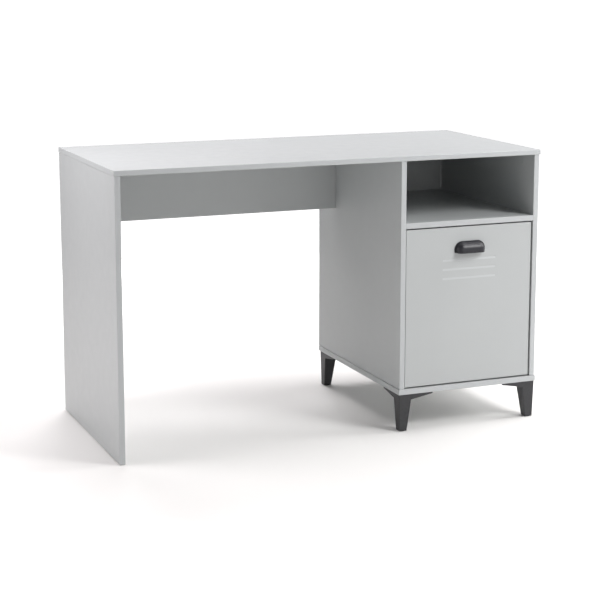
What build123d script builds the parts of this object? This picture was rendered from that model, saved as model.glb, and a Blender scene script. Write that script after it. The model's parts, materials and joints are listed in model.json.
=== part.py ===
from build123d import *
import os

# A writing desk of flat boards: a full-height side panel on the left, a cupboard on
# four black legs on the right with an open niche over a hinged door, and one top.
# The top and the cupboard's bottom stand a little proud of the uprights in front, and
# the uprights reach past them at the back, where a thin back board fits between.
# Millimetres. +X is to the right, +Y to the back and +Z up. The origin is on the floor,
# under the middle of the desk's bounding box.

# Driving dimensions
top_width = 1200.0
top_depth = 555.0
desk_height = 750.0
board = 15.0
top_board = 13.5
back_board = 3.0
overhang = 2.5
upright_reach_back = 5.0
cupboard_width = 415.0
leg_height = 103.0
niche_shelf_top = 570.0
modesty_height = 185.5
modesty_setback = 435.0
board_ease = 0.8
slab_ease = 1.2

# Door, its grooves and its cup pull
door_gap_left = 2.0
door_gap_right = 4.4
door_gap_above = 4.0
door_gap_below = 3.6
door_recess = 2.0
groove_length = 160.0
groove_width = 8.0
groove_upper_slope = 2.5
groove_depth = 0.6
groove_drops = (88.5, 113.5, 138.5)
pull_drop = 39.0
pull_radius = 19.2
pull_half_length = 23.6
pull_skirt = 9.0
pull_corner = 5.0
pull_rim = 3.0
pull_rim_thickness = 1.8
pull_wall = 1.8
pull_lip = 0.8
pull_lip_height = 2.4
pull_screw_spacing = 64.0
pull_screw_lift = 17.0
pull_boss_radius = 4.0
pull_thread_depth = 10.0
pull_screw_reach = 9.0

# Legs
leg_top = 38.0
leg_foot = 22.0
leg_lean = 2.5
leg_wall = 2.2
wing_reach = 100.0
wing_root = 15.0
wing_tip = 4.0
leg_plate = 2.5
leg_edge = 1.0
leg_inner_edge = 0.8
leg_lap = 2.0
leg_floor = 3.0
rear_leg_inset = 7.0
glide_thickness = 1.5
leg_glide_radius = 9.0
side_glide_radius = 6.0
side_glide_pin_radius = 1.1
side_glide_pin_length = 14.0
side_glide_inset = 45.0
leg_screw_places = ((62.0, 16.0), (16.0, 62.0), (44.0, 44.0))
leg_screw_length = 13.5

# Screws: the radius of the shank, and the radius and height of the head
leg_screw = (2.0, 3.75, 2.2)
pull_screw = (2.0, 4.0, 2.6)
cup_screw = (1.75, 3.2, 1.6)
plate_screw = (2.5, 4.5, 2.0)
arm_screw = (2.0, 4.2, 2.0)
screw_clearance = 0.3
screw_rounding = 0.45
screw_slot_share = 1.1
screw_slot_width = 0.9
screw_slot_depth = 1.0

# Cam fittings and dowels, with their places measured from the uprights' front edges
top_cam_depths = (70.0, 480.0)
top_dowel_depths = (130.0, 420.0)
bottom_cam_depths = (90.0, 480.0)
bottom_dowel_depths = (150.0, 420.0)
shelf_cam_depths = (110.0, 460.0)
shelf_dowel_depth = 270.0
modesty_cam_heights = (40.0, 133.5)
cam_radius = 7.4
cam_bore_radius = 7.5
cam_depth = 12.5
cam_setback = 24.0
bolt_radius = 3.0
bolt_bore_radius = 3.4
thread_radius = 2.5
thread_length = 11.0
dowel_radius = 4.0
dowel_in_edge = 20.0
dowel_in_face = 10.0
dowel_play = 0.5
dowel_bevel = 0.8
cap_radius = 8.5
cap_thickness = 0.8
cap_ease = 0.5
cam_shell = 0.3
cam_slot_length = 9.0
cam_slot_width = 2.0
cam_slot_depth = 1.5
bolt_collar = 2.0
bolt_neck = 5.0
bolt_neck_radius = 2.2
bolt_head = 4.0

# The thin back board and the nails that hold it
back_board_play = 0.5
back_board_foot = 1.0
back_board_lap = 10.0
nail_length = 20.0
nail_radius = 0.8
nail_head_radius = 1.9
nail_head_thickness = 0.6
nail_shares = (0.05, 0.35, 0.65, 0.95)

# Concealed hinges. Across is measured from the cupboard's right side towards the
# middle of the door, and deep from the door's front face towards the back.
hinge_inset = 80.0
pin_across = 15.0
pin_deep = 7.5
pin_radius = 1.5
pin_half_length = 12.4
pin_clearance = 0.06
cup_across = 25.5
cup_radius = 17.4
cup_bore_radius = 17.5
cup_bore_depth = 11.5
cup_wall = 1.0
cup_flange = 1.0
cup_play = 0.2
flange_from = 6.5
flange_to = 45.0
flange_height = 58.0
flange_corner = 6.0
ear_offset = 7.5
ear_width = 5.6
ear_thickness = 1.6
ear_from = 4.0
ear_to = 10.1
cup_screw_across = 35.0
cup_screw_spacing = 45.0
cup_screw_length = 11.0
arm_width = 10.0
arm_thickness = 3.0
arm_eye_radius = 2.5
arm_hook_across = 27.2
arm_crank_deep = 24.0
arm_seat_deep = 40.0
arm_end_deep = 92.0
plate_thickness = 5.0
plate_margin = 2.0
plate_spine_width = 13.0
plate_cross_width = 14.0
plate_cross_thickness = 2.5
plate_screw_deep = 52.0
plate_screw_spacing = 32.0
plate_screw_length = 13.5
arm_screw_deep = 76.0
arm_screw_reach = 7.0

# The buffers that the closed door rests against
stop_reach = 9.0
stop_size = 12.0
stop_play = 0.3
stop_pin_length = 8.0
stop_pin_radius = 2.5

# Planes that the boards share
half_width = top_width / 2
pull_reach_past_top = pull_radius + pull_lip - door_recess - overhang
front_most = -(pull_reach_past_top + top_depth + upright_reach_back) / 2
top_front = front_most + pull_reach_past_top
top_back = top_front + top_depth
front = top_front + overhang
back = top_back + upright_reach_back
top_under = desk_height - top_board
left_out = -half_width + overhang
left_in = left_out + board
right_out = half_width - overhang
right_in = right_out - board
mid_out = right_out - cupboard_width
mid_in = mid_out + board
floor_top = leg_height + board
shelf_under = niche_shelf_top - board
modesty_front = front + modesty_setback
modesty_under = top_under - modesty_height

# Planes of the door
door_front = front + door_recess
door_back = door_front + board
door_left = mid_in + door_gap_left
door_right = right_in - door_gap_right
door_under = floor_top + door_gap_below
door_top = shelf_under - door_gap_above
door_middle = (door_left + door_right) / 2
pull_under = door_top - pull_drop - pull_skirt - pull_radius - pull_rim
pull_axis = pull_under + pull_skirt
hinge_heights = {"upper": door_top - hinge_inset, "lower": door_under + hinge_inset}
stop_front = door_back + stop_play

up, down = Vector(0, 0, 1), Vector(0, 0, -1)
rightward, leftward = Vector(1, 0, 0), Vector(-1, 0, 0)
backward, forward = Vector(0, 1, 0), Vector(0, -1, 0)


def save(shape, name):
    export_step(shape, f"parts/{name}.step")


def group(solids):
    return Compound(children=list(solids))


def block(x, y, z):
    """A plain box between two values on each axis."""
    size = (x[1] - x[0], y[1] - y[0], z[1] - z[0])
    return Pos(x[0], y[0], z[0]) * Box(*size, align=(Align.MIN, Align.MIN, Align.MIN))


def eased_board(x, y, z, ease=board_ease):
    """A board with all its edges slightly rounded, as edge-banded board has."""
    plain = block(x, y, z)
    return fillet(plain.edges(), ease)


def rod(start, direction, length, radius):
    return extrude(Plane(origin=start, z_dir=direction) * Circle(radius), amount=length)


def facing(point, x_dir, normal):
    return Plane(origin=point, x_dir=x_dir, z_dir=normal)


def pan_screw(seat, direction, length, size):
    """A screw whose head sits on the seat point and whose shank runs along direction."""
    radius, head_radius, head_height = size
    head = rod(seat, -direction, head_height, head_radius)
    head = fillet(head.edges().group_by(Axis(seat, direction))[0], head_height * screw_rounding)
    slot = head_radius * screw_slot_share
    crown = Plane(origin=seat - direction * head_height, z_dir=direction)
    head -= crown * Box(slot, screw_slot_width, 2 * screw_slot_depth)
    head -= crown * Box(screw_slot_width, slot, 2 * screw_slot_depth)
    return rod(seat, direction, length, radius) + head


class Fittings:
    """Cam bolts, cams, caps and dowels, with the bores that each board needs for them."""

    def __init__(self):
        self.bolts, self.cams, self.caps, self.dowels = [], [], [], []
        self.bores = {}

    def bore(self, owner, cutter):
        self.bores.setdefault(owner, []).append(cutter)

    def cam_joint(self, joint, run, face, edge_board, face_board):
        """A bolt screwed into face_board at joint and drawn up by a cam in edge_board.
        run points into edge_board, and face out of the side that the cam is turned from."""
        surface = joint + run * cam_setback + face * (board / 2)
        self.bore(face_board, rod(joint, -run, thread_length, thread_radius))
        self.bore(edge_board, rod(joint, run, cam_setback, bolt_bore_radius))
        self.bore(edge_board, rod(surface, -face, cam_depth, cam_bore_radius))
        bolt = rod(joint, -run, thread_length, thread_radius)
        bolt += rod(joint, run, bolt_collar, bolt_radius)
        bolt += rod(joint, run, cam_setback - bolt_neck, bolt_neck_radius)
        bolt += rod(joint + run * (cam_setback - bolt_neck), run, bolt_head, bolt_radius)
        self.bolts.append(bolt)
        cam = rod(surface - face * cam_shell, -face, cam_depth - 2 * cam_shell, cam_radius)
        cam -= rod(joint, run, cam_setback + cam_slot_width / 2, bolt_bore_radius)
        top = facing(surface, run, face)
        cam -= top * Box(cam_slot_length, cam_slot_width, 2 * cam_slot_depth)
        cam -= top * Box(cam_slot_width, cam_slot_length, 2 * cam_slot_depth)
        self.cams.append(cam)
        cap = rod(surface, face, cap_thickness, cap_radius)
        self.caps.append(fillet(cap.edges().group_by(Axis(surface, face))[-1], cap_ease))

    def dowel_joint(self, joint, run, edge_board, face_board):
        self.bore(edge_board, rod(joint, run, dowel_in_edge + dowel_play, dowel_radius))
        self.bore(face_board, rod(joint, -run, dowel_in_face + dowel_play, dowel_radius))
        start = joint - run * dowel_in_face
        pin = rod(start, run, dowel_in_edge + dowel_in_face, dowel_radius)
        self.dowels.append(chamfer(pin.edges().filter_by(GeomType.CIRCLE), dowel_bevel))


fittings = Fittings()


def plan_fittings():
    uprights = {
        "left_side_panel": (left_out + board / 2, rightward),
        "cabinet_left_side": (mid_out + board / 2, rightward),
        "cabinet_right_side": (right_out - board / 2, leftward),
    }
    for name, (x, inner) in uprights.items():
        for depth in top_cam_depths:
            joint = Vector(x, front + depth, top_under)
            fittings.cam_joint(joint, down, inner, name, "top_panel")
        for depth in top_dowel_depths:
            fittings.dowel_joint(Vector(x, front + depth, top_under), down, name, "top_panel")
    for name in ("cabinet_left_side", "cabinet_right_side"):
        x, inner = uprights[name]
        for depth in bottom_cam_depths:
            joint = Vector(x, front + depth, floor_top)
            fittings.cam_joint(joint, up, inner, name, "cabinet_bottom")
        for depth in bottom_dowel_depths:
            fittings.dowel_joint(Vector(x, front + depth, floor_top), up, name, "cabinet_bottom")
    z = niche_shelf_top - board / 2
    shelf_ends = {"cabinet_left_side": (mid_in, rightward), "cabinet_right_side": (right_in, leftward)}
    for name, (x, run) in shelf_ends.items():
        for depth in shelf_cam_depths:
            fittings.cam_joint(Vector(x, front + depth, z), run, down, "niche_shelf", name)
        joint = Vector(x, front + shelf_dowel_depth, z)
        fittings.dowel_joint(joint, run, "niche_shelf", name)
    y = modesty_front + board / 2
    modesty_ends = {"left_side_panel": (left_in, rightward), "cabinet_left_side": (mid_out, leftward)}
    for name, (x, run) in modesty_ends.items():
        for height in modesty_cam_heights:
            joint = Vector(x, y, modesty_under + height)
            fittings.cam_joint(joint, run, backward, "modesty_panel", name)
        joint = Vector(x, y, modesty_under + modesty_height / 2)
        fittings.dowel_joint(joint, run, "modesty_panel", name)


def door_outline_point(across, deep, height=0.0):
    """The point at these distances from the cupboard's right side and the door's front."""
    return Vector(right_in - across, door_front + deep, height)


def nail_starts():
    """Where the back board is nailed to the back edges of the bottom, the shelf and the top."""
    heights = {
        "cabinet_bottom": leg_height + board / 2,
        "niche_shelf": niche_shelf_top - board / 2,
        "top_panel": top_under + top_board / 2,
    }
    for owner, z in heights.items():
        for share in nail_shares:
            yield owner, Vector(mid_in + share * (right_in - mid_in), top_back + back_board, z)


def leg_corners():
    """Each leg's outer corner, and the way from there to the middle of the cupboard."""
    far = top_back - rear_leg_inset
    return {
        "leg_front_left": (mid_out, front, 1, 1),
        "leg_front_right": (right_out, front, -1, 1),
        "leg_rear_left": (mid_out, far, 1, -1),
        "leg_rear_right": (right_out, far, -1, -1),
    }


def make_leg():
    """A leg at the origin's corner, its wings running along +X and +Y under the cupboard."""

    def section(size, shift, z, corner):
        middle = shift + size / 2
        return Pos(middle, middle, z) * RectangleRounded(size, size, corner)

    foot = section(leg_foot, leg_lean, glide_thickness, leg_edge)
    crown = section(leg_top, 0.0, leg_height, leg_edge)
    leg = loft([foot, crown])
    inner_foot = leg_foot - 2 * leg_wall
    inner_crown = leg_top - 2 * leg_wall
    share = leg_floor / (leg_height - glide_thickness)
    hollow_size = inner_foot + (inner_crown - inner_foot) * share
    hollow_shift = leg_lean * (1 - share) + leg_wall
    hollow_foot = section(hollow_size, hollow_shift, glide_thickness + leg_floor, leg_inner_edge)
    hollow_crown = section(inner_crown, leg_wall, leg_height, leg_inner_edge)
    hollow = loft([hollow_foot, hollow_crown])
    wing = Polyline(
        (leg_lap, leg_height),
        (wing_reach, leg_height),
        (wing_reach, leg_height - wing_tip),
        (leg_top, leg_height - wing_root),
        (leg_lap, leg_height - wing_root),
        close=True,
    )
    along_x = extrude(make_face(Plane.XZ * wing), amount=leg_plate, dir=(0, 1, 0))
    along_y = mirror(along_x, about=Plane(origin=(0, 0, 0), z_dir=(1, -1, 0)))
    plate_outline = Polyline(
        (leg_lap, leg_lap),
        (wing_reach, leg_lap),
        (wing_reach, leg_plate),
        (leg_plate, wing_reach),
        (leg_lap, wing_reach),
        close=True,
    )
    plate_face = Pos(0, 0, leg_height - leg_plate) * make_face(plate_outline)
    plate = extrude(plate_face, amount=leg_plate, dir=(0, 0, 1))
    leg = leg + along_x + along_y + plate - hollow
    for x, y in leg_screw_places:
        leg -= Pos(x, y, leg_height) * Cylinder(leg_screw[0] + screw_clearance, 4 * leg_plate)
    return leg


def place_leg(shape, corner):
    x, y, toward_x, toward_y = corner
    if toward_x < 0:
        shape = mirror(shape, about=Plane.YZ)
    if toward_y < 0:
        shape = mirror(shape, about=Plane.XZ)
    return Pos(x, y, 0) * shape


def leg_screw_seats():
    for x, y, toward_x, toward_y in leg_corners().values():
        for across, along in leg_screw_places:
            yield Vector(x + toward_x * across, y + toward_y * along, leg_height - leg_plate)


def side_glide_feet():
    for y in (front + side_glide_inset, back - side_glide_inset):
        yield Vector(left_out + board / 2, y, 0)


def pull_body(radius, floor):
    """The pull's bulge: a quarter of a cylinder with round ends over an upright skirt."""
    axis_point = (door_middle, door_front, pull_axis)
    bulge = Pos(*axis_point) * Rot(0, 90, 0) * Cylinder(radius, 2 * pull_half_length)
    for side in (-1, 1):
        bulge += Pos(*axis_point) * Pos(side * pull_half_length, 0, 0) * Sphere(radius)
    sideways = (door_left, door_right)
    ahead = (door_front - 2 * radius, door_front)
    plan = SlotOverall(2 * (pull_half_length + radius), 2 * radius)
    skirt = extrude(Pos(door_middle, door_front, floor) * plan, amount=pull_axis - floor)
    skirt &= block(sideways, ahead, (floor, pull_axis))
    return (bulge & block(sideways, ahead, (pull_axis, pull_axis + 2 * radius))) + skirt


def pull_outline(grow, depth):
    """The pull's outline seen from the front, grown all round and drawn out of the door."""
    radius = pull_radius + grow
    wide = 2 * (pull_half_length + radius)
    low = pull_skirt + grow
    crown = SlotOverall(wide, 2 * radius) - Pos(0, -radius) * Rectangle(2 * wide, 2 * radius)
    skirt = Pos(0, -low / 2) * Rectangle(wide, low)
    skirt = fillet(skirt.vertices().group_by(Axis.Y)[0], pull_corner + grow)
    door_plane = facing((door_middle, door_front, pull_axis), (1, 0, 0), (0, -1, 0))
    return extrude(door_plane * (crown + skirt), amount=depth)


def pull_screw_seats():
    for side in (-1, 1):
        x = door_middle + side * pull_screw_spacing / 2
        yield Vector(x, door_back, pull_under + pull_screw_lift)


def make_pull():
    """The cup pull: a hollow shell open below, with a rim, a lip bead and two screw bosses."""
    reach = 2 * pull_radius
    outer = pull_body(pull_radius, pull_under) & pull_outline(0.0, reach)
    bead = pull_body(pull_radius + pull_lip, pull_under) & pull_outline(pull_lip, reach)
    sideways = (door_left, door_right)
    ahead = (door_front - reach, door_front)
    bead &= block(sideways, ahead, (pull_under, pull_under + pull_lip_height))
    rim = pull_outline(pull_rim, pull_rim_thickness)
    rim &= block(sideways, ahead, (pull_under, door_top))
    inner = pull_body(pull_radius - pull_wall, pull_under - pull_wall)
    mouth_half = pull_half_length + pull_radius - pull_corner
    mouth = block(
        (door_middle - mouth_half, door_middle + mouth_half),
        ahead,
        (pull_under - pull_wall, pull_axis),
    )
    hollow = (inner & pull_outline(-pull_wall, reach)) + (inner & mouth)
    pull = outer + bead + rim - hollow
    for seat in pull_screw_seats():
        start = seat + forward * board
        pull += rod(start, forward, pull_radius, pull_boss_radius) & outer
        pull -= rod(start, forward, pull_thread_depth, pull_screw[0])
    return pull


def make_groove(drop):
    """A shallow groove across the door's front: a short slope over a longer one."""
    half = groove_width / 2
    start = (door_middle - groove_length / 2, door_front, door_top - drop)
    deepest = (groove_depth, half - groove_upper_slope)
    section = Polyline((0.0, half), deepest, (0.0, -half), close=True)
    section_plane = facing(start, (0, 1, 0), (1, 0, 0))
    return extrude(section_plane * make_face(section), amount=groove_length)


def cup_screw_seats(height):
    for side in (-1, 1):
        z = height + side * cup_screw_spacing / 2
        yield door_outline_point(cup_screw_across, board + cup_flange, z)


def make_door():
    door = eased_board((door_left, door_right), (door_front, door_back), (door_under, door_top))
    for drop in groove_drops:
        door -= make_groove(drop)
    for seat in pull_screw_seats():
        door -= rod(seat, forward, board, pull_screw[0] + screw_clearance)
    for height in hinge_heights.values():
        mouth = door_outline_point(cup_across, board, height)
        door -= rod(mouth, forward, cup_bore_depth, cup_bore_radius)
        for seat in cup_screw_seats(height):
            door -= rod(seat, forward, cup_screw_length, cup_screw[0])
    return door


def make_cup(height):
    """The hinge cup let into the door's back, with its flange and the bore for the pin."""
    mouth = door_outline_point(cup_across, board, height)
    body = rod(mouth, forward, cup_bore_depth - cup_play, cup_radius)
    middle = (flange_from + flange_to) / 2
    flange_plane = facing(door_outline_point(middle, board, height), (1, 0, 0), (0, 1, 0))
    flange = RectangleRounded(flange_to - flange_from, flange_height, flange_corner)
    body += extrude(flange_plane * flange, amount=cup_flange)
    hollow_depth = cup_bore_depth + cup_flange - cup_wall
    cup = body - rod(mouth + backward * cup_flange, forward, hollow_depth, cup_radius - cup_wall)
    for side in (-1, 1):
        root = door_outline_point(pin_across, ear_from, height + side * ear_offset)
        ear = facing(root, (1, 0, 0), (0, 1, 0)) * Rectangle(ear_width, ear_thickness)
        cup += extrude(ear, amount=ear_to - ear_from)
    for seat in cup_screw_seats(height):
        cup -= rod(seat, forward, cup_flange, cup_screw[0] + screw_clearance)
    return cup - make_pin(height)


def make_pin(height):
    start = door_outline_point(pin_across, pin_deep, height - pin_half_length)
    return rod(start, up, 2 * pin_half_length, pin_radius)


def arm_bar(start, end):
    """A straight stretch of the arm, seen from above, between two (across, deep) points."""
    a = Vector(right_in - start[0], door_front + start[1])
    b = Vector(right_in - end[0], door_front + end[1])
    middle = (a + b) / 2
    plane = facing((middle.X, middle.Y, 0), (b - a).normalized(), (0, 0, 1))
    return plane * SlotOverall((b - a).length + arm_thickness, arm_thickness)


def make_arm(height):
    """The fixed arm: along the side, cranked out, and hooked into the cup round the pin."""
    seat = plate_thickness + arm_thickness / 2
    bars = arm_bar((seat, arm_end_deep), (seat, arm_seat_deep))
    bars += arm_bar((seat, arm_seat_deep), (arm_hook_across, arm_crank_deep))
    bars += arm_bar((arm_hook_across, arm_crank_deep), (arm_hook_across, pin_deep))
    bars += arm_bar((arm_hook_across, pin_deep), (pin_across, pin_deep))
    eye = door_outline_point(pin_across, pin_deep)
    bars += Pos(eye.X, eye.Y) * Circle(arm_eye_radius)
    bars -= Pos(eye.X, eye.Y) * Circle(pin_radius + pin_clearance)
    arm = extrude(Pos(0, 0, height - arm_width / 2) * bars, amount=arm_width)
    bore_radius = arm_screw[0] + screw_clearance
    return arm - rod(arm_screw_seat(height), rightward, arm_thickness, bore_radius)


def arm_screw_seat(height):
    return door_outline_point(plate_thickness + arm_thickness, arm_screw_deep, height)


def plate_screw_seats(height):
    for side in (-1, 1):
        z = height + side * plate_screw_spacing / 2
        yield door_outline_point(plate_cross_thickness, plate_screw_deep, z)


def make_mounting_plate(height):
    """The cross-shaped plate screwed to the cupboard's side, with the arm on top of it."""
    start = arm_seat_deep + plate_margin
    end = arm_end_deep + plate_margin
    spine_plane = facing(door_outline_point(0, (start + end) / 2, height), (0, 1, 0), (-1, 0, 0))
    spine = RectangleRounded(end - start, plate_spine_width, plate_margin)
    cross_plane = facing(door_outline_point(0, plate_screw_deep, height), (0, 1, 0), (-1, 0, 0))
    cross = SlotOverall(plate_screw_spacing + plate_cross_width, plate_cross_width, rotation=90)
    plate = extrude(spine_plane * spine, amount=plate_thickness)
    plate += extrude(cross_plane * cross, amount=plate_cross_thickness)
    for seat in plate_screw_seats(height):
        bore_radius = plate_screw[0] + screw_clearance
        plate -= rod(seat, rightward, plate_cross_thickness, bore_radius)
    return plate - rod(arm_screw_seat(height), rightward, arm_screw_reach, arm_screw[0])


def make_door_stop(height):
    """A small buffer on the cupboard's left side that the closed door rests against."""
    half = stop_size / 2
    body = eased_board(
        (mid_in, mid_in + stop_reach),
        (stop_front, stop_front + stop_size),
        (height - half, height + half),
    )
    return body + stop_pin(height)


def stop_pin(height):
    start = Vector(mid_in, stop_front + stop_size / 2, height)
    return rod(start, leftward, stop_pin_length, stop_pin_radius)


def make_boards():
    upright_depth = (front, back)
    slab_depth = (top_front, top_back)
    uprights_above_bottom = (floor_top, top_under)
    boards = {
        "top_panel": eased_board(
            (-half_width, half_width), slab_depth, (top_under, desk_height), slab_ease
        ),
        "left_side_panel": eased_board(
            (left_out, left_in), upright_depth, (glide_thickness, top_under)
        ),
        "cabinet_left_side": eased_board(
            (mid_out, mid_in), upright_depth, uprights_above_bottom
        ),
        "cabinet_right_side": eased_board(
            (right_in, right_out), upright_depth, uprights_above_bottom
        ),
        "cabinet_bottom": eased_board(
            (mid_out - overhang, half_width), slab_depth, (leg_height, floor_top), slab_ease
        ),
        "niche_shelf": eased_board(
            (mid_in, right_in), (front, top_back), (shelf_under, niche_shelf_top)
        ),
        "modesty_panel": eased_board(
            (left_in, mid_out), (modesty_front, modesty_front + board), (modesty_under, top_under)
        ),
        "cabinet_back_panel": block(
            (mid_in + back_board_play, right_in - back_board_play),
            (top_back, top_back + back_board),
            (leg_height + back_board_foot, top_under + back_board_lap),
        ),
    }
    for owner, cutters in fittings.bores.items():
        boards[owner] -= cutters
    for owner, start in nail_starts():
        nail = rod(start, forward, nail_length, nail_radius)
        boards[owner] -= nail
        boards["cabinet_back_panel"] -= nail
    for seat in leg_screw_seats():
        boards["cabinet_bottom"] -= rod(seat, up, leg_screw_length, leg_screw[0])
    for height in hinge_heights.values():
        for seat in plate_screw_seats(height):
            bore = rod(seat, rightward, plate_screw_length, plate_screw[0])
            boards["cabinet_right_side"] -= bore
        boards["cabinet_left_side"] -= stop_pin(height)
    for foot in side_glide_feet():
        boards["left_side_panel"] -= side_glide_pin(foot)
    return boards


def make_nail(start):
    shank = rod(start, forward, nail_length, nail_radius)
    return shank + rod(start, backward, nail_head_thickness, nail_head_radius)


def make_leg_glides():
    middle = leg_lean + leg_foot / 2
    for x, y, toward_x, toward_y in leg_corners().values():
        foot = Vector(x + toward_x * middle, y + toward_y * middle, 0)
        yield rod(foot, up, glide_thickness, leg_glide_radius)


def side_glide_pin(foot):
    return rod(foot + up * glide_thickness, up, side_glide_pin_length, side_glide_pin_radius)


def make_side_glide(foot):
    return rod(foot, up, glide_thickness, side_glide_radius) + side_glide_pin(foot)


def main():
    os.makedirs("parts", exist_ok=True)
    plan_fittings()
    for name, shape in make_boards().items():
        save(shape, name)
    save(group(fittings.bolts), "cam_bolts")
    save(group(fittings.cams), "cam_locks")
    save(group(fittings.caps), "cam_caps")
    save(group(fittings.dowels), "dowels")
    save(group(make_nail(start) for owner, start in nail_starts()), "back_panel_nails")

    leg = make_leg()
    for name, corner in leg_corners().items():
        save(place_leg(leg, corner), name)
    leg_screws = [pan_screw(seat, up, leg_screw_length, leg_screw) for seat in leg_screw_seats()]
    save(group(leg_screws), "leg_screws")
    save(group(make_leg_glides()), "leg_glides")
    save(group(make_side_glide(foot) for foot in side_glide_feet()), "side_panel_glides")

    save(make_door(), "door_panel")
    save(make_pull(), "cup_pull")
    length = board + pull_screw_reach
    pull_screws = [pan_screw(seat, forward, length, pull_screw) for seat in pull_screw_seats()]
    save(group(pull_screws), "pull_screws")
    cup_screws, plate_screws, arm_screws = [], [], []
    for place, height in hinge_heights.items():
        save(make_cup(height), f"hinge_cup_{place}")
        save(make_pin(height), f"hinge_pin_{place}")
        save(make_arm(height), f"hinge_arm_{place}")
        save(make_mounting_plate(height), f"hinge_plate_{place}")
        for seat in cup_screw_seats(height):
            cup_screws.append(pan_screw(seat, forward, cup_screw_length, cup_screw))
        for seat in plate_screw_seats(height):
            plate_screws.append(pan_screw(seat, rightward, plate_screw_length, plate_screw))
        arm_screws.append(
            pan_screw(arm_screw_seat(height), rightward, arm_screw_reach, arm_screw)
        )
    save(group(cup_screws), "hinge_cup_screws")
    save(group(plate_screws), "hinge_plate_screws")
    save(group(arm_screws), "hinge_arm_screws")
    save(group(make_door_stop(height) for height in hinge_heights.values()), "door_stops")


main()
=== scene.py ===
import json
import math

import bpy
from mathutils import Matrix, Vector

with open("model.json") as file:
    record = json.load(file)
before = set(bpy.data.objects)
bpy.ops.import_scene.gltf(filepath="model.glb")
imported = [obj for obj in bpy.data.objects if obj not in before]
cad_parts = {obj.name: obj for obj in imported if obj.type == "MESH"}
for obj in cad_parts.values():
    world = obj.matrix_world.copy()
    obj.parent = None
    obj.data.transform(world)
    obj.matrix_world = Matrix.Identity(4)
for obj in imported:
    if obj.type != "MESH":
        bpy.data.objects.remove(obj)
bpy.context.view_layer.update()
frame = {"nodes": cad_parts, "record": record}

# The camera and the lights stand round the desk, in metres.
CAMERA_PLACE = Vector((-1.6682, -4.0929, 1.2631))
CAMERA_YAW = math.radians(22.221)
CAMERA_PITCH = math.radians(9.848)
CAMERA_LENS = 97.51
CAMERA_SHIFT_Y = -0.1
ROOM_LIGHT = 0.095
OVERHEAD_TINT = (1.0, 0.97, 0.985)
SENSOR_WIDTH = 36.0
VIEW_REACH = 100.0
FLOOR_HALF = 30.0
STUDIO_WHITE = (1.0, 1.0, 1.0, 1.0)
STUDIO_GLOW = 1.1
WHITE_FROM = 0.9
WHITE_TO = 2.4

# Each soft box: name, place, what it points at, side, watts and colour.
PLAIN_WHITE = (1.0, 1.0, 1.0)
SOFT_BOXES = (
    ("overhead_back", (0.0, 1.6, 2.8), (0.0, 0.0, 0.5), 1.6, 56.0, OVERHEAD_TINT),
    ("overhead_right", (1.6, 0.0, 2.8), (0.0, 0.0, 0.5), 1.6, 36.0, OVERHEAD_TINT),
    ("left_near", (-1.2, 0.0, 1.3), (-0.6, 0.0, 0.6), 0.5, 8.0, OVERHEAD_TINT),
    ("left_low", (-2.6, -0.3, 1.0), (-0.6, 0.0, 0.4), 1.2, 13.0, OVERHEAD_TINT),
    ("low_back", (0.4, 2.4, 0.4), (0.3, 0.0, 0.0), 0.8, 18.0, PLAIN_WHITE),
    ("low_front", (0.5, -3.4, 0.75), (0.4, 0.0, 0.6), 0.9, 8.0, PLAIN_WHITE),
    ("front_right", (1.6, -2.2, 2.0), (0.4, 0.0, 0.4), 1.2, 17.0, PLAIN_WHITE),
    ("front_right_high", (1.6, -1.8, 2.25), (0.4, 0.0, 0.4), 0.9, 33.0, PLAIN_WHITE),
    ("right", (2.8, -0.4, 1.6), (0.5, 0.0, 0.4), 1.2, 40.0, PLAIN_WHITE),
)

MM = 0.001


# ---- shader helper ---------------------------------------------------------------------

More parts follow.
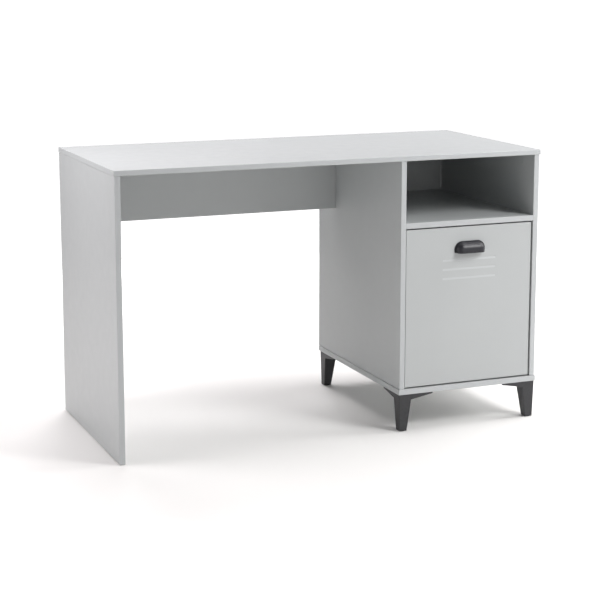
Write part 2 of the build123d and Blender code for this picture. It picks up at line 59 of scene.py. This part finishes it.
class Paint:
    """Builds one procedural material. Lengths in its patterns are metres on the object."""

    def __init__(self, name, roughness=0.5, metallic=0.0, **sockets):
        self.material = bpy.data.materials.new(name)
        self.material.use_nodes = True
        self.tree = self.material.node_tree
        self.bsdf = self.tree.nodes["Principled BSDF"]
        self.bsdf.inputs["Roughness"].default_value = roughness
        self.bsdf.inputs["Metallic"].default_value = metallic
        for socket, value in sockets.items():
            self.bsdf.inputs[socket.replace("_", " ")].default_value = value
        self.place = self.node("ShaderNodeTexCoord").outputs["Object"]
        self.height = None

    def node(self, kind, **values):
        made = self.tree.nodes.new(kind)
        for key, value in values.items():
            setattr(made, key, value)
        return made

    def link(self, source, target):
        self.tree.links.new(source, target)

    def stretched(self, x, y, z):
        mapping = self.node("ShaderNodeMapping")
        mapping.inputs["Scale"].default_value = (x, y, z)
        self.link(self.place, mapping.inputs["Vector"])
        return mapping.outputs["Vector"]

    def noise(self, size, detail=2.0, rough=0.5, vector=None):
        """Noise whose blobs are about that many metres across."""
        made = self.node("ShaderNodeTexNoise")
        made.inputs["Scale"].default_value = 1.0 / size
        made.inputs["Detail"].default_value = detail
        made.inputs["Roughness"].default_value = rough
        self.link(vector or self.place, made.inputs["Vector"])
        return made.outputs["Fac"]

    def math(self, operation, a, b=0.0):
        made = self.node("ShaderNodeMath", operation=operation)
        for socket, value in zip(made.inputs, (a, b)):
            if isinstance(value, (int, float)):
                socket.default_value = value
            else:
                self.link(value, socket)
        return made.outputs[0]

    def spread(self, value, low, high, from_low=0.3, from_high=0.7):
        made = self.node("ShaderNodeMapRange")
        made.inputs["From Min"].default_value = from_low
        made.inputs["From Max"].default_value = from_high
        made.inputs["To Min"].default_value = low
        made.inputs["To Max"].default_value = high
        self.link(value, made.inputs["Value"])
        return made.outputs["Result"]

    def blend(self, share, first, second):
        made = self.node("ShaderNodeMix", data_type="RGBA")
        sockets = (made.inputs[0], made.inputs[6], made.inputs[7])
        for socket, value in zip(sockets, (share, first, second)):
            if isinstance(value, float):
                socket.default_value = value
            elif isinstance(value, tuple):
                socket.default_value = (*value, 1.0)
            else:
                self.link(value, socket)
        return made.outputs[2]

    def colour(self, value):
        self.link(value, self.bsdf.inputs["Base Color"])

    def roughness(self, value):
        self.link(value, self.bsdf.inputs["Roughness"])

    def bump(self, value, depth):
        """Adds relief: depth is the height in metres between the pattern's 0 and 1."""
        made = self.node("ShaderNodeBump")
        made.inputs["Strength"].default_value = 1.0
        made.inputs["Distance"].default_value = depth
        self.link(value, made.inputs["Height"])
        if self.height is not None:
            self.link(self.height, made.inputs["Normal"])
        self.height = made.outputs["Normal"]
        self.link(self.height, self.bsdf.inputs["Normal"])


def shade(colour, factor):
    return tuple(channel * factor for channel in colour)


# ---- materials -------------------------------------------------------------------------

BOARD_GREY = (0.487, 0.504, 0.507)
# The next tone is the edge band's paler grey on front-facing edges, raised further as painted light
# for the light those edges catch.
BAND_AND_PAINTED_LIGHT_GREY = (0.514, 0.532, 0.541)
# The next tone is a painted highlight, given to the up-facing groove slopes and eased top edges of
# the door and modesty panel.
GROOVE_PAINTED_HIGHLIGHT = (0.550, 0.570, 0.576)
FLECK_SHARE = 0.35


def grey_lacquer(name, axis, from_tilt, to_tilt, band_and_highlight):
    """Satin grey lacquer: a faint orange peel, and very slight clouding of tone and sheen.
    Faces that tilt enough along the given axis take the tone passed in instead. On the fronts this
    is a painted highlight on up-tilted faces. On the boards it is a paler edge-band tone on
    front-facing edges, partly painted light."""
    paint = Paint(name, IOR=1.46)
    clouds = paint.spread(paint.noise(0.22, 3.0), 0.0, 1.0)
    speckle = paint.spread(paint.noise(0.9 * MM, 2.0), 0.0, 1.0)
    tone = paint.blend(clouds, shade(BOARD_GREY, 0.985), shade(BOARD_GREY, 1.015))
    fleck = paint.blend(speckle, shade(BOARD_GREY, 0.97), shade(BOARD_GREY, 1.03))
    colour = paint.blend(FLECK_SHARE, tone, fleck)
    direction = paint.node("ShaderNodeSeparateXYZ")
    paint.link(paint.node("ShaderNodeTexCoord").outputs["Normal"], direction.inputs[0])
    # Painted light: faces tilted past the limits take the given tone. On the fronts that is a
    # painted highlight; on the boards it is the edge-band tone, which is partly painted light.
    tilted = paint.spread(direction.outputs[axis], 0.0, 1.0, from_tilt, to_tilt)
    paint.colour(paint.blend(tilted, colour, band_and_highlight))
    paint.roughness(paint.spread(paint.noise(0.03, 3.0), 0.34, 0.41))
    paint.bump(paint.noise(2.6 * MM, 1.5), 0.010 * MM)
    paint.bump(paint.noise(0.5 * MM, 2.0), 0.003 * MM)
    return paint.material


def grey_back_board():
    """Thin hardboard, printed grey, with the fine wire-screen pattern that it is pressed on."""
    paint = Paint("grey_back_board", roughness=0.55)
    clouds = paint.spread(paint.noise(0.05, 4.0), 0.0, 1.0)
    fibre = paint.spread(paint.noise(1.5 * MM, 5.0, 0.7, paint.stretched(1.0, 1.0, 0.35)), 0.0, 1.0)
    tone = paint.blend(clouds, shade(BOARD_GREY, 0.94), shade(BOARD_GREY, 1.0))
    share = paint.math("MULTIPLY", fibre, 0.35)
    paint.colour(paint.blend(share, tone, shade(BOARD_GREY, 0.84)))
    paint.roughness(paint.spread(fibre, 0.5, 0.62, 0.0, 1.0))
    paint.bump(fibre, 0.03 * MM)
    return paint.material


def black_metal():
    """Black powder coat: a fine pebbled skin with a satin sheen."""
    paint = Paint("black_metal", roughness=0.42, IOR=1.5)
    pebble = paint.noise(0.8 * MM, 2.0)
    tone = paint.spread(paint.noise(6.0 * MM, 3.0), 0.0, 1.0)
    paint.colour(paint.blend(tone, (0.030, 0.030, 0.033), (0.038, 0.038, 0.042)))
    paint.roughness(paint.spread(pebble, 0.38, 0.5))
    paint.bump(pebble, 0.02 * MM)
    return paint.material


def pull_black():
    """The pull's coat is smoother than the legs', so it carries a soft highlight."""
    paint = Paint("pull_black", IOR=1.5)
    skin = paint.noise(0.6 * MM, 2.0)
    tone = paint.spread(paint.noise(4.0 * MM, 2.0), 0.0, 1.0)
    paint.colour(paint.blend(tone, (0.021, 0.021, 0.026), (0.027, 0.027, 0.033)))
    paint.roughness(paint.spread(skin, 0.34, 0.44))
    paint.bump(skin, 0.006 * MM)
    return paint.material


def metal(name, colour, roughness, grain):
    """Bare or plated metal with fine drawn lines along the given stretch of the noise."""
    paint = Paint(name, roughness=roughness, metallic=1.0)
    lines = paint.noise(0.7 * MM, 3.0, 0.6, paint.stretched(*grain))
    stain = paint.spread(paint.noise(7.0 * MM, 3.0), 0.0, 1.0)
    paint.colour(paint.blend(stain, shade(colour, 0.9), shade(colour, 1.05)))
    paint.roughness(paint.spread(lines, roughness * 0.75, roughness * 1.3))
    paint.bump(lines, 0.008 * MM)
    return paint.material


def plastic(name, colour, roughness):
    """Moulded plastic with a fine spark-eroded grain."""
    paint = Paint(name, roughness=roughness)
    grain = paint.noise(0.4 * MM, 2.0)
    tone = paint.spread(paint.noise(8.0 * MM, 2.0), 0.0, 1.0)
    paint.colour(paint.blend(tone, shade(colour, 0.96), shade(colour, 1.04)))
    paint.roughness(paint.spread(grain, roughness * 0.9, roughness * 1.15))
    paint.bump(grain, 0.01 * MM)
    return paint.material


def beech():
    """Beech dowels: short dark rays in a pale pinkish wood."""
    paint = Paint("beech_dowel", roughness=0.6)
    rays = paint.spread(paint.noise(0.8 * MM, 4.0, 0.6, paint.stretched(1.0, 1.0, 0.12)), 0.0, 1.0)
    paint.colour(paint.blend(rays, (0.55, 0.36, 0.20), (0.66, 0.47, 0.29)))
    paint.bump(rays, 0.03 * MM)
    return paint.material


def assign_materials():
    slots = {
        # Front-facing board edges take the paler edge-band tone, partly real band and partly
        # painted light for the light they catch.
        "grey_board": grey_lacquer("grey_board", "Y", -0.8, -0.97, BAND_AND_PAINTED_LIGHT_GREY),
        "grey_back_board": grey_back_board(),
        "black_metal": black_metal(),
        "nickel_steel": metal("nickel_steel", (0.60, 0.58, 0.54), 0.28, (1.0, 0.1, 1.0)),
        "pin_steel": metal("pin_steel", (0.62, 0.62, 0.62), 0.22, (1.0, 1.0, 8.0)),
        "zinc_screws": metal("zinc_screws", (0.62, 0.63, 0.65), 0.35, (1.0, 1.0, 1.0)),
        "cam_zinc": metal("cam_zinc", (0.50, 0.50, 0.51), 0.42, (1.0, 1.0, 1.0)),
        "grey_cap": plastic("grey_cap", BOARD_GREY, 0.42),
        "beech_dowel": beech(),
        "black_glide": plastic("black_glide", (0.03, 0.03, 0.03), 0.5),
        "pale_plastic": plastic("pale_plastic", (0.62, 0.62, 0.60), 0.45),
    }
    # Door and modesty panel: faces tilted upwards, which are the grooves' lower slopes and the
    # eased top edges, take a painted highlight.
    fronts = grey_lacquer("grey_fronts_painted_highlight", "Z", 0.03, 0.09, GROOVE_PAINTED_HIGHLIGHT)
    special = {"cup_pull": pull_black(), "door_panel": fronts, "modesty_panel": fronts}
    for part in frame["record"]["subparts"]:
        node = frame["nodes"][part["node"]]
        material = special.get(part["node"], slots[part["material_slot"]])
        for material_slot in node.material_slots:
            material_slot.material = material


# ---- stage, light and camera -----------------------------------------------------------

def make_floor():
    """A wide pale floor, faintly mottled. Far from the desk it fades to the studio's white."""
    paint = Paint("studio_floor", roughness=0.75)
    cloud = paint.spread(paint.noise(0.6, 3.0), 0.0, 1.0)
    paint.colour(paint.blend(cloud, (0.90, 0.89, 0.875), (0.92, 0.91, 0.895)))
    distance = paint.node("ShaderNodeVectorMath", operation="LENGTH")
    paint.link(paint.place, distance.inputs[0])
    haze = paint.spread(distance.outputs["Value"], 0.0, 1.0, WHITE_FROM, WHITE_TO)
    rays = paint.node("ShaderNodeLightPath")
    paint.link(paint.math("MULTIPLY", haze, rays.outputs["Is Camera Ray"]),
               paint.bsdf.inputs["Emission Strength"])
    paint.bsdf.inputs["Emission Color"].default_value = STUDIO_WHITE
    mesh = bpy.data.meshes.new("studio_floor")
    corners = [(x * FLOOR_HALF, y * FLOOR_HALF, 0) for x, y in ((-1, -1), (1, -1), (1, 1), (-1, 1))]
    mesh.from_pydata(corners, [], [(0, 1, 2, 3)])
    mesh.materials.append(paint.material)
    floor = bpy.data.objects.new("studio_floor", mesh)
    bpy.context.scene.collection.objects.link(floor)


def make_world():
    """The camera sees a white studio; the room's own light on the desk is much weaker."""
    world = bpy.data.worlds.new("studio")
    world.use_nodes = True
    tree = world.node_tree
    seen = tree.nodes["Background"]
    seen.inputs["Color"].default_value = STUDIO_WHITE
    seen.inputs["Strength"].default_value = STUDIO_GLOW
    room = tree.nodes.new("ShaderNodeBackground")
    room.inputs["Color"].default_value = STUDIO_WHITE
    room.inputs["Strength"].default_value = ROOM_LIGHT
    rays = tree.nodes.new("ShaderNodeLightPath")
    choice = tree.nodes.new("ShaderNodeMixShader")
    tree.links.new(rays.outputs["Is Camera Ray"], choice.inputs["Fac"])
    tree.links.new(room.outputs["Background"], choice.inputs[1])
    tree.links.new(seen.outputs["Background"], choice.inputs[2])
    tree.links.new(choice.outputs["Shader"], tree.nodes["World Output"].inputs["Surface"])
    bpy.context.scene.world = world


def soft_box(name, place, target, size, watts, colour):
    light = bpy.data.lights.new(name, "AREA")
    light.shape = "SQUARE"
    light.size = size
    light.energy = watts
    light.color = colour
    lamp = bpy.data.objects.new(name, light)
    lamp.location = place
    lamp.visible_camera = False
    direction = Vector(target) - Vector(place)
    lamp.rotation_euler = direction.to_track_quat("-Z", "Y").to_euler()
    bpy.context.scene.collection.objects.link(lamp)


def make_camera():
    data = bpy.data.cameras.new("camera")
    data.sensor_width = SENSOR_WIDTH
    data.lens = CAMERA_LENS
    data.shift_y = CAMERA_SHIFT_Y
    data.clip_end = VIEW_REACH
    camera = bpy.data.objects.new("camera", data)
    camera.location = CAMERA_PLACE
    camera.rotation_euler = (math.pi / 2 - CAMERA_PITCH, 0.0, -CAMERA_YAW)
    bpy.context.scene.collection.objects.link(camera)
    bpy.context.scene.camera = camera


assign_materials()
make_floor()
make_world()
for box in SOFT_BOXES:
    soft_box(*box)
make_camera()
bpy.context.scene.view_settings.view_transform = "Standard"
